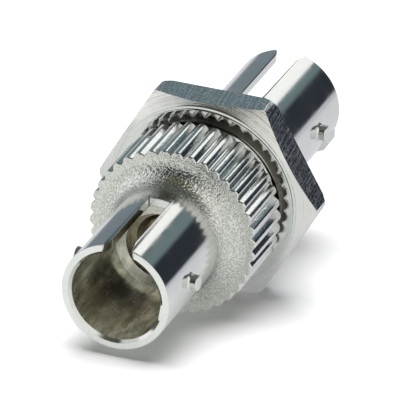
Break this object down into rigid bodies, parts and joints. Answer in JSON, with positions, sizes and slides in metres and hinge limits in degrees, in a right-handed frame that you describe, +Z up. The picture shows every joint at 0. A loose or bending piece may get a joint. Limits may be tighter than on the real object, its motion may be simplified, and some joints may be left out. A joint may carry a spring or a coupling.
{
  "type": "fibre optic coupler",
  "caption": "Fibre optic coupler with a slotted bayonet socket at each end, a knurled flange and a hexagon panel nut on a threaded barrel.",
  "frame": {"origin": "bottom centre of the bounding box, on the surface that the coupler lies on", "axes": "+Z up, +Y from the front socket towards the rear socket, along the ground below the coupler's axis, which rises towards the rear by 8.7 degrees, because the flange's front edge and the nut's lower flat rest on the surface; the key slots face up"},
  "size_m": [0.0144, 0.0296, 0.0128],
  "materials": {
    "nickel_casting": "bright nickel plate",
    "nickel_nut": "bright nickel plate over turned and brushed metal",
    "holder_metal": "dull nickel plate",
    "sleeve_bronze": "satin bronze"
  },
  "bodies": {
    "coupler": {"front_housing": "nickel_casting", "rear_socket": "nickel_casting", "front_sleeve_holder": "holder_metal", "rear_sleeve_holder": "holder_metal", "alignment_sleeve": "sleeve_bronze"},
    "nut": {"hex_nut": "nickel_nut"}
  },
  "joints": [
    {"name": "nut_travel", "type": "slide", "parent": "coupler", "child": "nut", "axis": [0, 0.9884, 0.1518], "range_m": [-0.0006, 0.015]}
  ]
}
